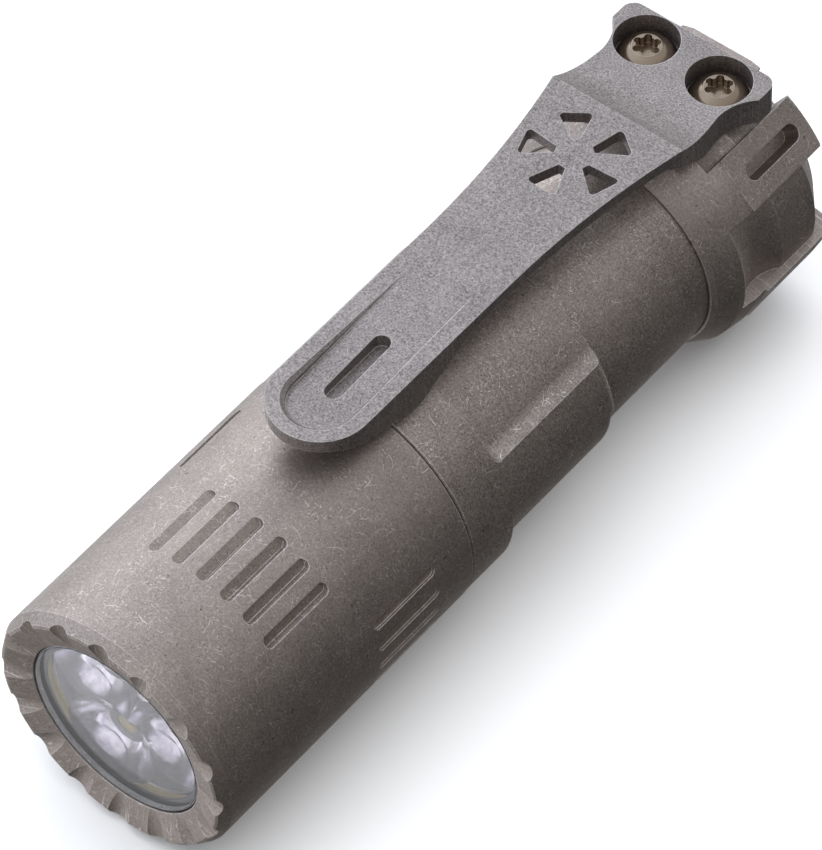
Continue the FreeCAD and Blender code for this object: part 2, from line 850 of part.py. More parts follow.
def cut_finger_recesses(body):
    """Shallow recesses round the waist, open towards the tail, with hollow sides."""
    outside = size("waist_radius") + 1
    overrun = size("waist_step_at") + 0.1
    sketch = new_sketch(body, "finger_recess", "XY_Plane")
    bind(sketch, "AttachmentOffset.Base.z", "recess_at")
    draw_outline(sketch, recess_outline(outside))
    recess = pocket(body, sketch, overrun - "recess_at", reverse=True)
    repeat_round(body, recess, "recess_count", 360)
    break_edges(body, "recess_corners", "Fillet", recess_edges(body.Tip.Shape),
                "recess_corner")
    groove(body, "waist_bevel", [
        ("recess_radius", "waist_step_at", "waist_round"),
        ("waist_radius", "waist_end_at"),
        (outside, "waist_end_at"),
        (outside, overrun),
        ("recess_radius", overrun)], 0, 360)


def recess_outline(outside):
    """The cross-section of one recess: a floor that follows the barrel, and a hollow side."""
    middle = size("recess_angle")
    floor, edge = size("recess_half_angle"), size("recess_edge_half_angle")
    hollow = size("recess_side_radius")
    return [
        at_angle("recess_radius", middle - floor) + (-size("recess_radius"),),
        at_angle("recess_radius", middle + floor) + (hollow,),
        at_angle("waist_radius", middle + edge),
        at_angle(outside, middle + edge) + (outside,),
        at_angle(outside, middle - edge),
        at_angle("waist_radius", middle - edge) + (hollow,)]


def recess_edges(shape):
    """The edges where the recesses' front walls meet their floors and sides."""
    chosen = []
    for number, edge in enumerate(shape.Edges, start=1):
        ends = [vertex.Point for vertex in edge.Vertexes]
        in_front_wall = all(abs(point.z - SIZES["recess_at"]) < 0.01 for point in ends)
        radii = [math.hypot(point.x, point.y) for point in ends]
        if in_front_wall and min(radii) < SIZES["recess_radius"] + 0.01:
            chosen.append(number)
    return chosen


# ---------------------------------------------------------------- battery


def make_battery():
    ring("battery_can", "cell_radius", 0, "cell_shoulder_at", "cell_end_at")
    wrap = size("wrap_thickness")
    turned("battery_wrap", [
        ("cell_radius", "cell_shoulder_at"),
        (size("cell_radius") - 1.5, "cell_shoulder_at"),
        (size("cell_radius") - 1.5, size("cell_shoulder_at") - wrap),
        (size("cell_radius") + wrap, size("cell_shoulder_at") - wrap),
        (size("cell_radius") + wrap, size("cell_end_at") + wrap),
        (size("cell_radius") - 1.5, size("cell_end_at") + wrap),
        (size("cell_radius") - 1.5, "cell_end_at"),
        ("cell_radius", "cell_end_at")])
    ring("battery_insulator", size("cell_radius") - 1.6, "insulator_bore",
         size("cell_shoulder_at") - wrap, "cell_shoulder_at")
    edge = size("edge_break") * 2
    turned("battery_button", [
        (0, "cell_top_at"),
        (size("cell_button_radius") - edge, "cell_top_at"),
        ("cell_button_radius", size("cell_top_at") + edge),
        ("cell_button_radius", "cell_shoulder_at"),
        (0, "cell_shoulder_at")])


# ---------------------------------------------------------------- tail


def make_tail_cap():
    body = new_body("tail_cap")
    chamfer = size("tail_chamfer")
    revolve(body, [
        ("lip_bore", "lip_at"),
        ("lip_radius", "lip_at"),
        ("lip_rear_radius", "lip_rear_at"),
        ("flare_mid_radius", "flare_mid_at"),
        ("lug_face", "cap_full_at"),
        ("lug_face", "lug_face_at"),
        ("cap_radius", "lug_face_at"),
        ("cap_radius", size("light_length") - chamfer),
        (size("cap_radius") - chamfer, "light_length"),
        (size("tail_bore") + chamfer, "light_length"),
        ("tail_bore", size("light_length") - chamfer),
        ("tail_bore", "cavity_end_at"),
        ("cavity_radius", "cavity_end_at"),
        ("cavity_radius", "board_seat_at"),
        ("cap_bore", "board_seat_at"),
        ("cap_bore", "lip_bore_end_at"),
        ("lip_bore", "lip_bore_end_at")])
    cut_lug_faces(body)
    cut_between_lugs(body)
    cut_lug_slots(body)
    cut_clip_seat(body)
    return place_in_barrel(body)


def lug_sweep():
    return size("lug_pitch_angle") * (size("lug_count") - 1)


def cut_lug_faces(body):
    """Flat faces on the lugs."""
    sketch = outward_sketch(body, "lug_face", "lug_first_angle", "lug_face")
    reach = size("cap_radius")
    draw_outline(sketch, [
        (-reach * 0.5, "lug_face_at"), (reach * 0.5, "lug_face_at"),
        (reach * 0.5, size("light_length") + 1), (-reach * 0.5, size("light_length") + 1)])
    face = pocket(body, sketch, reverse=True)
    repeat_round(body, face, "lug_count", lug_sweep())


def scallop_profile(front, front_radius):
    """A hollow sweep behind the flare, then a low flange that slopes to the tail face."""
    outside = size("cap_radius") + 1
    return [
        (outside, front),
        (front_radius, front, "waist_cut_sweep"),
        ("waist_cut_rear_radius", "waist_cut_rear_at"),
        ("flange_radius", "flange_at"),
        ("flange_radius", "flange_end_at"),
        ("tail_face_radius", size("light_length") + 0.1),
        (outside, size("light_length") + 0.1)]


def cut_between_lugs(body):
    """Scallops between the lugs, and a narrower one on each side of the clip's seat."""
    between = size("lug_first_angle") + size("lug_pitch_angle") * 0.5
    span = size("lug_pitch_angle") - size("lug_half_angle") * 2
    profile = scallop_profile("waist_cut_at", size("flare_mid_radius") + 0.1)
    wide = groove(body, "scallop", profile, between, span)
    repeat_round(body, wide, size("lug_count") - 1,
                 size("lug_pitch_angle") * (size("lug_count") - 2))
    inner_edge = size("clip_seat_half_angle")
    outer_edge = size("lug_first_angle") - "lug_half_angle"
    profile = scallop_profile("side_cut_at", "lug_face")
    for side, name in ((1, "right_scallop"), (-1, "left_scallop")):
        groove(body, name, profile, (inner_edge + outer_edge) * (0.5 * side),
               outer_edge - inner_edge)


def cut_lug_slots(body):
    sketch = outward_sketch(body, "lug_slot", "lug_first_angle",
                            size("lug_face") - "lug_slot_depth")
    draw_slot(sketch, 0, "lug_slot_at", "lug_slot_length", "lug_slot_width")
    slot = pocket(body, sketch, reverse=True)
    repeat_round(body, slot, "lug_count", lug_sweep())


def cut_clip_seat(body):
    """The flat that carries the clip, with two tapped holes."""
    half = size("clip_seat_half_width")
    sketch = outward_sketch(body, "clip_seat", 0, "clip_seat")
    draw_outline(sketch, [
        (-half, "clip_seat_at"), (half, "clip_seat_at"),
        (half, size("light_length") + 1), (-half, size("light_length") + 1)])
    pocket(body, sketch, reverse=True)
    holes = outward_sketch(body, "clip_screw_holes", 0, "screw_tap_floor")
    for side in (1, -1):
        draw_circle(holes, size("clip_screw_half_spacing") * side, "clip_screw_at",
                    "screw_tap_radius")
    pocket(body, holes, reverse=True)


def make_switch():
    ring("switch_retaining_ring", size("cap_bore") - "running_gap", "switch_ring_bore",
         "switch_ring_at", size("board_seat_at") - "running_gap")
    ring("switch_board", "switch_board_radius", 0,
         "switch_board_front_at", "switch_board_rear_at")
    body = new_body("switch_module")
    sketch = new_sketch(body, "switch_outline", "XY_Plane")
    bind(sketch, "AttachmentOffset.Base.z", "switch_board_rear_at")
    half = size("switch_side") * 0.5
    draw_outline(sketch, [(-half, -half), (half, -half), (half, half), (-half, half)])
    case = body.newObject("PartDesign::Pad", "switch_case")
    case.Profile = sketch
    bind(case, "Length", size("switch_rear_at") - "switch_board_rear_at")
    require_change(body, case, True)
    well = new_sketch(body, "switch_well", "XY_Plane")
    bind(well, "AttachmentOffset.Base.z", size("plunger_front_at") - 0.95)
    draw_circle(well, 0, 0, "plunger_bore")
    pocket(body, well, reverse=True)
    place_in_barrel(body)
    ring("switch_plunger", "plunger_radius", 0, "plunger_front_at", "plunger_rear_at")


def make_button():
    edge = size("edge_break") * 2
    dish = size("button_dish")
    turned("tail_button", [
        (0, "button_flange_at"),
        ("button_flange_radius", "button_flange_at"),
        ("button_flange_radius", "button_shoulder_at"),
        ("button_radius", "button_shoulder_at"),
        ("button_radius", size("button_rear_at") - edge),
        (size("button_radius") - edge, "button_rear_at"),
        (size("button_radius") - edge * 3, "button_rear_at"),
        (0, size("button_rear_at") - dish)])
    ring("button_seal", size("tail_bore") - "running_gap", "seal_bore",
         "seal_front_at", "seal_rear_at")


# ---------------------------------------------------------------- pocket clip


def make_pocket_clip():
    """A sprung arm with a rounded tip and foot, a fan of windows, and a two-screw pad."""
    body = new_body("pocket_clip")
    pad_side_profile(body)
    trim_to_plan(body)
    cut_tip_channel(body)
    cut_clip_slot(body)
    cut_fan_windows(body)
    cut_screw_pockets(body)
    return place_upright(body)


def pad_side_profile(body):
    sketch = new_sketch(body, "clip_side", "YZ_Plane")
    draw_outline(sketch, [
        ("clip_tip_at", "clip_tip_under"),
        ("foot_front_at", "clip_tip_under"),
        ("foot_low_front_at", "foot_shoulder", -size("foot_round")),
        ("foot_low_rear_at", "foot_shoulder"),
        ("foot_rear_at", "clip_under"),
        ("leg_top_at", "clip_under"),
        ("pad_front_at", "clip_seat"),
        ("clip_tail_at", "clip_seat"),
        ("clip_tail_at", "pad_top"),
        ("clip_ramp_end_at", "pad_top", 9.0),
        ("clip_crease_at", "clip_top"),
        ("clip_tip_at", "clip_top")])
    pad = body.newObject("PartDesign::Pad", "clip_blank")
    pad.Profile = sketch
    pad.SideType = "Symmetric"
    bind(pad, "Length", size("clip_corner_half_width") * 2 + 2)
    require_change(body, pad, True)


def clip_half_outline(side):
    """One side of the clip's plan, from the round tip to the tail edge."""
    tip_centre = size("clip_tip_at") + "clip_half_width"
    corner = size("clip_corner_round")
    return [
        (size("clip_half_width") * side, tip_centre),
        (size("clip_half_width") * side, "clip_straight_at", "clip_flare_radius"),
        (size("clip_crease_half_width") * side, "clip_crease_at"),
        (size("clip_waist_half_width") * side, "clip_waist_at", "clip_waist_round"),
        (size("clip_corner_half_width") * side, "clip_corner_at"),
        (size("clip_corner_half_width") * side, size("clip_tail_at") - corner, -corner * 1.2),
        ((size("clip_corner_half_width") - corner) * side, "clip_tail_at")]


def trim_to_plan(body):
    """Cut away everything outside the clip's plan outline."""
    sketch = new_sketch(body, "clip_plan", "XY_Plane")
    far = size("clip_corner_half_width") * 3
    draw_outline(sketch, [
        (-far, size("clip_tip_at") - 5), (far, size("clip_tip_at") - 5),
        (far, size("clip_tail_at") + 5), (-far, size("clip_tail_at") + 5)])
    right = clip_half_outline(1)
    left = clip_half_outline(-1)
    draw_clip_plan(sketch, right, left)
    pocket(body, sketch, reverse=True)


def draw_clip_plan(sketch, right, left):
    """Join the two halves with the round tip and the straight tail edge."""
    tip_radius = -size("clip_half_width") * 1.00001
    points = [(point[0], point[1]) + arc_between(point) for point in right]
    back = [(point[0], point[1]) for point in reversed(left)]
    turned_arcs = [arc_between(point) for point in reversed(left)]
    for place in range(len(back) - 1):
        back[place] = back[place] + turned_arcs[place + 1]
    back[-1] = back[-1] + (tip_radius,)
    draw_outline(sketch, points + back)


def arc_between(point):
    return (point[2],) if len(point) == 3 else ()


def cut_tip_channel(body):
    """A sunk channel with a bevelled rim, which fades out along the arm."""
    for name, slope_size, taper in (("tip_channel", "channel_slope_angle", 0),
                                    ("tip_channel_bevel", "channel_bevel_slope", 45)):
        sketch = new_sketch(body, name, "XY_Plane")
        slope = FreeCAD.Rotation(FreeCAD.Vector(1, 0, 0), SIZES[slope_size])
        sketch.AttachmentOffset = FreeCAD.Placement(FreeCAD.Vector(0, 0, 0), slope)
        bind(sketch, "AttachmentOffset.Rotation.Angle", slope_size)
        bind(sketch, "AttachmentOffset.Base.y", "channel_fade_at")
        bind(sketch, "AttachmentOffset.Base.z", "clip_top")
        half = size("channel_half_width")
        round_end = size("clip_tip_at") + "clip_half_width" - "channel_fade_at"
        draw_outline(sketch, [
            (half, round_end), (half, 2), (-half, 2), (-half, round_end, -half * 1.00001)])
        pocket(body, sketch, 1.5, reverse=True, taper=taper)


def cut_clip_slot(body):
    """A blind slot in the floor of the channel."""
    sketch = new_sketch(body, "clip_slot", "XY_Plane")
    bind(sketch, "AttachmentOffset.Base.z", "clip_slot_floor")
    radius = size("clip_slot_radius")
    draw_slot(sketch, 0, size("clip_slot_at") - radius,
              size("clip_slot_pitch") + radius * 2, radius * 2)
    pocket(body, sketch, reverse=True)


def cut_fan_windows(body):
    """Blunt triangles fanned round one centre, points inwards."""
    sketch = new_sketch(body, "fan_window", "XY_Plane")
    bind(sketch, "AttachmentOffset.Base.y", "window_centre_at")
    inner, outer = size("window_inner_half_width"), size("window_outer_half_width")
    corner = size("window_corner")
    draw_outline(sketch, [
        (inner, -size("window_inner")), (-inner, -size("window_inner")),
        (-outer, -(size("window_outer") - corner), -corner),
        (-(outer - corner), -size("window_outer")),
        (outer - corner, -size("window_outer"), -corner),
        (outer, -(size("window_outer") - corner))])
    window = pocket(body, sketch, reverse=True)
    fan = body.newObject("PartDesign::PolarPattern", "fan_windows")
    fan.Originals = [window]
    fan.Axis = (sketch, ["N_Axis"])
    bind(fan, "Occurrences", "window_count")
    fan.Angle = 360
    body.Tip = fan
    require_change(body, fan, False)


def cut_screw_pockets(body):
    for name, radius, floor in (("screw_pockets", "screw_pocket_radius", "screw_pocket_floor"),
                                ("screw_holes", "screw_hole_radius", "clip_seat")):
        sketch = new_sketch(body, name, "XY_Plane")
        bind(sketch, "AttachmentOffset.Base.z", floor)
        for side in (1, -1):
            draw_circle(sketch, size("clip_screw_half_spacing") * side, "clip_screw_at", radius)
        pocket(body, sketch, reverse=True)


def make_clip_screws():
    """Two domed screws with six-lobed sockets, drawn upright and placed like the clip."""
    body = new_body("clip_screw_solid")
    socket_rim = size("screw_rim_radius")
    sketch = new_sketch(body, "screw_profile", "XZ_Plane")
    draw_outline(sketch, [
        (0, "screw_end"),
        (size("screw_thread_radius") - 0.2, "screw_end"),
        ("screw_thread_radius", size("screw_end") + 0.2),
        ("screw_thread_radius", "screw_pocket_floor"),
        ("screw_head_radius", "screw_pocket_floor"),
        ("screw_head_radius", "screw_head_edge", -2.6),
        (socket_rim, size("screw_head_top") - 0.06),
        (socket_rim - 0.1, "screw_head_top"),
        (0, "screw_head_top")])
    turn = body.newObject("PartDesign::Revolution", "screw_turned")
    turn.Profile = sketch
    turn.ReferenceAxis = (sketch, ["V_Axis"])
    turn.Angle = 360
    require_change(body, turn, True)
    well = new_sketch(body, "screw_socket", "XY_Plane")
    bind(well, "AttachmentOffset.Base.z", "screw_socket_floor")
    draw_circle(well, 0, 0, "screw_socket_radius")
    pocket(body, well, reverse=True)
    lobe_sketch = new_sketch(body, "screw_lobe", "XY_Plane")
    bind(lobe_sketch, "AttachmentOffset.Base.z", "screw_socket_floor")
    draw_circle(lobe_sketch, "screw_socket_radius", 0, "screw_socket_lobe_radius")
    lobe = pocket(body, lobe_sketch, reverse=True)
    repeat_round(body, lobe, 6, 360)
    bind(body, "Placement.Base.x", "clip_screw_half_spacing")
    bind(body, "Placement.Base.y", "clip_screw_at")
    twin = doc.addObject("Part::Mirroring", "clip_screw_twin")
    twin.Source = body
    twin.Normal = FreeCAD.Vector(1, 0, 0)
    pair = doc.addObject("Part::Compound", "clip_screw_pair")
    pair.Links = [body, twin]
    place_upright(named(pair, "clip_screws"))


# ---------------------------------------------------------------- build and write

NODES = (
    "head_shell", "window_glass", "window_gasket", "triple_optic", "optic_spacer",
    "led_emitter_1", "led_emitter_2", "led_emitter_3", "led_board", "board_screws",
    "heat_sink", "lead_positive", "lead_negative", "driver_board", "driver_retaining_ring",
    "front_contact_spring", "neck_seal", "body_tube", "tail_seal",
    "battery_can", "battery_wrap", "battery_insulator", "battery_button",
    "tail_cap", "tail_contact_spring", "switch_retaining_ring", "switch_board",
    "switch_module", "switch_plunger", "button_seal", "tail_button",
    "pocket_clip", "clip_screws")


def build():
    make_head_shell()
    make_window()
    make_triple_optic()
    make_optic_spacer()
    make_emitters()
    make_led_board()
    make_board_screws()
    make_heat_sink()
    make_leads()
    make_driver()
    make_spring("front_contact_spring", "driver_rear_at", "cell_top_at")
    seal_ring("neck_seal", "neck_ring_radius", "neck_ring_section",
              size("neck_groove_at") + size("neck_groove_width") * 0.5)
    make_body_tube()
    seal_ring("tail_seal", "tail_ring_radius", "tail_ring_section",
              size("tail_groove_at") + size("tail_groove_width") * 0.5)
    make_battery()
    make_tail_cap()
    make_spring("tail_contact_spring", size("cell_end_at") + "wrap_thickness",
                "switch_board_front_at")
    make_switch()
    make_button()
    make_pocket_clip()
    make_clip_screws()
    doc.recompute()


def check():
    """Stop if any object failed, or a piece's shape is missing or broken."""
    for obj in doc.Objects:
        if "Invalid" in obj.State or "Error" in obj.State:
            raise RuntimeError(f"{obj.Label}: {obj.State}")
    for label in NODES:
        shape = piece(label).Shape
        if shape.isNull() or not shape.isValid() or not shape.Solids:
            raise RuntimeError(f"{label}: bad shape")


def piece(label):
    return doc.getObjectsByLabel(label)[0]


def write():
    os.makedirs("parts", exist_ok=True)
    for label in NODES:
        piece(label).Shape.exportStep(f"parts/{label}.step")


build()
check()
write()
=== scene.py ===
import math

import bmesh
import bpy
from mathutils import Matrix, Vector


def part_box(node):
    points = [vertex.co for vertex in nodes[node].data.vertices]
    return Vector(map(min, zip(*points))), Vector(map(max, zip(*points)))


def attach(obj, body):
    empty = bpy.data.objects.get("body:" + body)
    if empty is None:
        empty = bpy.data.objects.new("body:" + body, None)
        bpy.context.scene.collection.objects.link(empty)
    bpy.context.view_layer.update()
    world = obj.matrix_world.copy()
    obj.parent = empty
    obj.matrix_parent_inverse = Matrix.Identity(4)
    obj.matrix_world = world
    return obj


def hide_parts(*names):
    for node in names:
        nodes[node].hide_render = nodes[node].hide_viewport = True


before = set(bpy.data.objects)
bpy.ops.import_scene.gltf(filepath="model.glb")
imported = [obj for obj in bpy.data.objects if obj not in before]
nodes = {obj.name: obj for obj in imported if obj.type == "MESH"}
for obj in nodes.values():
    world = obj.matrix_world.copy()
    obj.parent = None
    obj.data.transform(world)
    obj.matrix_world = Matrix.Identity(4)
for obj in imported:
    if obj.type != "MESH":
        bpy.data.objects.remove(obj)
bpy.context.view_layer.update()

MM = 0.001

# The barrel axis runs along +Y at this height, from the head's front to the tail.
head_low, head_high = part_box("head_shell")
AXIS_Z = (head_low.z + head_high.z) / 2
FRONT_Y = head_low.y
HEAD_R = (head_high.x - head_low.x) / 2


# ---------------------------------------------------------------- node helpers


class Graph:
    """A short way to build one material's nodes."""

    def __init__(self, name):
        self.material = bpy.data.materials.new(name)
        self.material.use_nodes = True
        self.tree = self.material.node_tree
        self.tree.nodes.clear()
        self.out = self.tree.nodes.new("ShaderNodeOutputMaterial")
        self.shader = self.tree.nodes.new("ShaderNodeBsdfPrincipled")
        self.tree.links.new(self.shader.outputs["BSDF"], self.out.inputs["Surface"])

    def node(self, kind, **settings):
        made = self.tree.nodes.new("ShaderNode" + kind)
        for key, value in settings.items():
            setattr(made, key, value)
        return made

    def put(self, socket, value):
        """Link an output to a socket, or set the socket's own value."""
        if isinstance(value, bpy.types.NodeSocket):
            self.tree.links.new(value, socket)
        else:
            socket.default_value = value

    def math(self, operation, first, second=0.0, clamp=False):
        made = self.node("Math", operation=operation, use_clamp=clamp)
        for socket, value in zip(made.inputs, (first, second)):
            self.put(socket, value)
        return made.outputs[0]

    def vector_math(self, operation, first, second=None, scale=None):
        made = self.node("VectorMath", operation=operation)
        self.put(made.inputs[0], first)
        if second is not None:
            self.put(made.inputs[1], second)
        if scale is not None:
            self.put(made.inputs["Scale"], scale)
        return made.outputs["Value" if operation == "DOT_PRODUCT" else "Vector"]

    def mix(self, factor, first, second, blend="MIX"):
        """Blend two colours, each an output or three numbers."""
        made = self.node("Mix", data_type="RGBA", blend_type=blend)
        self.put(made.inputs[0], factor)
        for socket, colour in zip(made.inputs[6:8], (first, second)):
            self.put(socket, (*colour, 1) if isinstance(colour, tuple) else colour)
        return made.outputs[2]

    def smooth(self, value, low, high, out_low=0.0, out_high=1.0):
        """Ease from one number to another while the value goes from low to high."""
        made = self.node("MapRange", interpolation_type="SMOOTHSTEP")
        for socket, number in zip(made.inputs, (value, low, high, out_low, out_high)):
            self.put(socket, number)
        return made.outputs[0]

    def noise(self, vector, scale, detail, roughness):
        """Cloudy noise between 0 and 1, whose scale is in cells per metre."""
        made = self.node("TexNoise")
        self.put(made.inputs["Vector"], vector)
        made.inputs["Scale"].default_value = scale
        made.inputs["Detail"].default_value = detail
        made.inputs["Roughness"].default_value = roughness
        return made.outputs["Fac"]

    def bump(self, height, strength, distance, normal=None):
        made = self.node("Bump")
        made.inputs["Strength"].default_value = strength
        made.inputs["Distance"].default_value = distance
        self.put(made.inputs["Height"], height)
        if normal is not None:
            self.put(made.inputs["Normal"], normal)
        return made.outputs["Normal"]

    def place(self):
        return self.node("TexCoord").outputs["Object"]

    def set(self, **sockets):
        for name, value in sockets.items():
            self.put(self.shader.inputs[name.replace("_", " ")], value)


# ---------------------------------------------------------------- materials

# Each layer of scratches on titanium: the cell, length and width, then a shift of its pattern.
SCRATCHES = [(0.62 * MM, 0.30 * MM, 0.036 * MM, 0.0), (0.95 * MM, 0.55 * MM, 0.040 * MM, 0.013),
             (1.70 * MM, 1.10 * MM, 0.042 * MM, 0.029), (0.42 * MM, 0.16 * MM, 0.042 * MM, 0.041)]


def barrel_map(g, place):
    """Unroll the barrel: arc length round the axis, then distance along it."""
    split = g.node("SeparateXYZ")
    g.put(split.inputs[0], place)
    height = g.math("SUBTRACT", split.outputs["Z"], AXIS_Z)
    angle = g.math("ARCTAN2", split.outputs["X"], height)
    join = g.node("CombineXYZ")
    g.put(join.inputs["X"], g.math("MULTIPLY", angle, HEAD_R))
    g.put(join.inputs["Y"], split.outputs["Y"])
    return join.outputs[0]


def flat_map(g, place):
    """Look straight down on a flat piece."""
    return g.vector_math("MULTIPLY", place, (1, 1, 0))


def scratches(g, flat, cell, length, width, shift):
    """One short, slightly bowed scratch at a random angle in each cell of a plane."""
    moved = g.vector_math("ADD", flat, (shift, shift * 0.37, 0))
    scaled = g.vector_math("SCALE", moved, scale=1 / cell)
    cells = g.node("TexVoronoi", voronoi_dimensions="2D")
    g.put(cells.inputs["Vector"], scaled)
    cells.inputs["Scale"].default_value = 1
    local = g.vector_math("SUBTRACT", scaled, cells.outputs["Position"])
    tint = g.node("SeparateColor")
    g.put(tint.inputs[0], cells.outputs["Color"])
    turn = g.node("VectorRotate", rotation_type="Z_AXIS")
    g.put(turn.inputs["Vector"], local)
    g.put(turn.inputs["Angle"], g.math("MULTIPLY", tint.outputs[0], math.pi * 2))
    turned = g.node("SeparateXYZ")
    g.put(turned.inputs[0], turn.outputs[0])
    bow = g.math("MULTIPLY", g.math("POWER", turned.outputs["X"], 2.0), 0.5)
    across = g.math("ABSOLUTE", g.math("ADD", turned.outputs["Y"], bow))
    along = g.math("ABSOLUTE", turned.outputs["X"])
    reach = g.math("MULTIPLY", tint.outputs[1], length / cell)
    line = g.smooth(across, width / cell * 0.35, width / cell, 1.0, 0.0)
    ends = g.smooth(g.math("SUBTRACT", along, reach), -0.12, 0.0, 1.0, 0.0)
    return g.math("MULTIPLY", g.math("MULTIPLY", line, ends), tint.outputs[2])


def strongest(g, masks):
    """The strongest of several masks at each point."""
    kept = masks[0]
    for mask in masks[1:]:
        kept = g.math("MAXIMUM", kept, mask)
    return kept


def edge_mask(g, radius):
    """A mask of the sharp edges, where the colour is painted lighter, partly as wear and partly
    as painted highlight, and the normal that rounds them.
    """
    bevel = g.node("Bevel", samples=4)
    bevel.inputs["Radius"].default_value = radius
    normal = g.node("NewGeometry").outputs["Normal"]
    same = g.vector_math("DOT_PRODUCT", bevel.outputs[0], normal)
    return g.smooth(same, 0.92, 0.998, 1.0, 0.0), bevel.outputs[0]


def make_titanium(name, mid, unroll, grain_contrast, wash, rough, glint):
    """Tumbled titanium: mottled grey, short bright scratches, fine grain, and sharp edges painted
    lighter, partly as wear and partly as painted highlight.
    """
    g = Graph(name)
    place = g.place()
    flat = unroll(g, place)
    mottle = g.noise(place, 320, 4, 0.6)
    cloud = g.noise(place, 70, 2, 0.5)
    grain = g.noise(place, 5600, 2, 0.7)
    fleck = g.noise(place, 3300, 1, 0.5)
    tone = g.math("MULTIPLY", g.math("SUBTRACT", grain, 0.5), grain_contrast)
    tone = g.math("ADD", tone, g.math("MULTIPLY", g.math("SUBTRACT", mottle, 0.5), 0.45))
    tone = g.math("ADD", tone, g.math("MULTIPLY", g.math("SUBTRACT", cloud, 0.5), 0.35))
    tone = g.math("ADD", tone, 1.0)
    base = g.vector_math("SCALE", mid, scale=tone)
    patch = g.smooth(g.noise(place, 380, 4, 0.7), 0.42, 0.66)
    marks = strongest(g, [scratches(g, flat, *layer) for layer in SCRATCHES])
    marks = g.math("MULTIPLY", marks, g.math("ADD", g.math("MULTIPLY", patch, 0.8), 0.3))
    marks = g.math("MULTIPLY", marks, wash)
    specks = g.math("MULTIPLY", g.smooth(fleck, 0.64, 0.78), wash * 0.45)
    specks = g.math("MULTIPLY", specks, g.math("ADD", g.math("MULTIPLY", patch, 0.8), 0.2))
    pits = g.math("MULTIPLY", g.smooth(g.noise(place, 1900, 1, 0.4), 0.74, 0.80), 0.7)
    dark = g.math("MULTIPLY", g.smooth(g.noise(place, 4300, 1, 0.5), 0.62, 0.74), 0.35)
    pits = g.math("MAXIMUM", pits, dark)
    # Sharp edges painted lighter in colour: partly wear, partly painted highlight.
    edge_wear_and_highlight, normal = edge_mask(g, 0.13 * MM)
    edge_wear_and_highlight = g.math("MULTIPLY", edge_wear_and_highlight, g.smooth(g.noise(place, 1700, 3, 0.6), 0.3, 0.6, 0.4, 0.9))
    colour = g.mix(pits, base, tuple(channel * 0.3 for channel in mid))
    colour = g.mix(g.math("MAXIMUM", marks, specks), colour, glint)
    colour = g.mix(edge_wear_and_highlight, colour, glint)
    roughness = g.math("ADD", rough, g.math("MULTIPLY", g.math("SUBTRACT", grain, 0.5), 0.3))
    roughness = g.math("SUBTRACT", roughness, g.math("MULTIPLY", marks, 0.1), clamp=True)
    height = g.math("ADD", grain, g.math("MULTIPLY", fleck, 0.6))
    height = g.math("SUBTRACT", height, g.math("MULTIPLY", marks, 0.5))
    g.set(Base_Color=colour, Metallic=1.0, Roughness=roughness,
          Normal=g.bump(height, 0.3, 0.02 * MM, normal))
    return g.material


def body_titanium():
    return make_titanium("stonewashed_titanium", (0.40, 0.345, 0.315), barrel_map,
                         1.3, 0.95, 0.54, (0.90, 0.86, 0.83))


def tube_titanium():
    return make_titanium("handled_titanium", (0.40, 0.345, 0.315), barrel_map,
                         2.1, 1.15, 0.54, (0.92, 0.89, 0.86))


def clip_titanium():
    return make_titanium("blasted_titanium", (0.345, 0.31, 0.30), flat_map,
                         2.6, 0.42, 0.55, (0.86, 0.84, 0.82))


def polished_metal(name, colour, rough):
    """Turned or pressed metal with a fine uneven polish."""
    g = Graph(name)
    place = g.place()
    grain = g.noise(place, 2600, 4, 0.6)
    blotch = g.noise(place, 480, 3, 0.6)
    shade = g.smooth(blotch, 0.3, 0.7, 0.75, 1.05)
    tinted = g.mix(1.0, colour, g.mix(shade, (0.7, 0.7, 0.7), (1, 1, 1)), "MULTIPLY")
    roughness = g.math("ADD", rough, g.math("MULTIPLY", g.math("SUBTRACT", grain, 0.5), 0.2))
    # Sharp edges painted lighter in colour: partly wear, partly painted highlight.
    edge_wear_and_highlight, normal = edge_mask(g, 0.08 * MM)
    tinted = g.mix(g.math("MULTIPLY", edge_wear_and_highlight, 0.4), tinted, (0.9, 0.88, 0.85))
    g.set(Base_Color=tinted, Metallic=1.0, Roughness=roughness,
          Normal=g.bump(grain, 0.2, 0.01 * MM, normal))
    return g.material


def moulded(name, colour, rough):
    """Plastic, rubber or coated board with a faint mould texture."""
    g = Graph(name)
    place = g.place()
    grain = g.noise(place, 3200, 3, 0.6)
    blotch = g.noise(place, 300, 3, 0.5)
    tinted = g.mix(g.smooth(blotch, 0.3, 0.7, 0.0, 0.35), colour,
                   tuple(channel * 0.6 for channel in colour))
    roughness = g.math("ADD", rough, g.math("MULTIPLY", g.math("SUBTRACT", grain, 0.5), 0.25))
    g.set(Base_Color=tinted, Roughness=roughness, Normal=g.bump(grain, 0.25, 0.02 * MM))
    return g.material


def clear(name, colour, rough, ior):
    """Glass or clear plastic with faint dust."""
    g = Graph(name)
    place = g.place()
    dust = g.smooth(g.noise(place, 2600, 3, 0.7), 0.66, 0.78, 0.0, 0.12)
    g.set(Base_Color=(*colour, 1), Roughness=g.math("ADD", dust, rough))
    g.shader.inputs["Transmission Weight"].default_value = 1.0
    g.shader.inputs["IOR"].default_value = ior
    return g.material


def dress(name, material):
    """Give one CAD node its material."""
    mesh = nodes[name].data
    mesh.materials.clear()
    mesh.materials.append(material)
    for face in mesh.polygons:
        face.material_index = 0


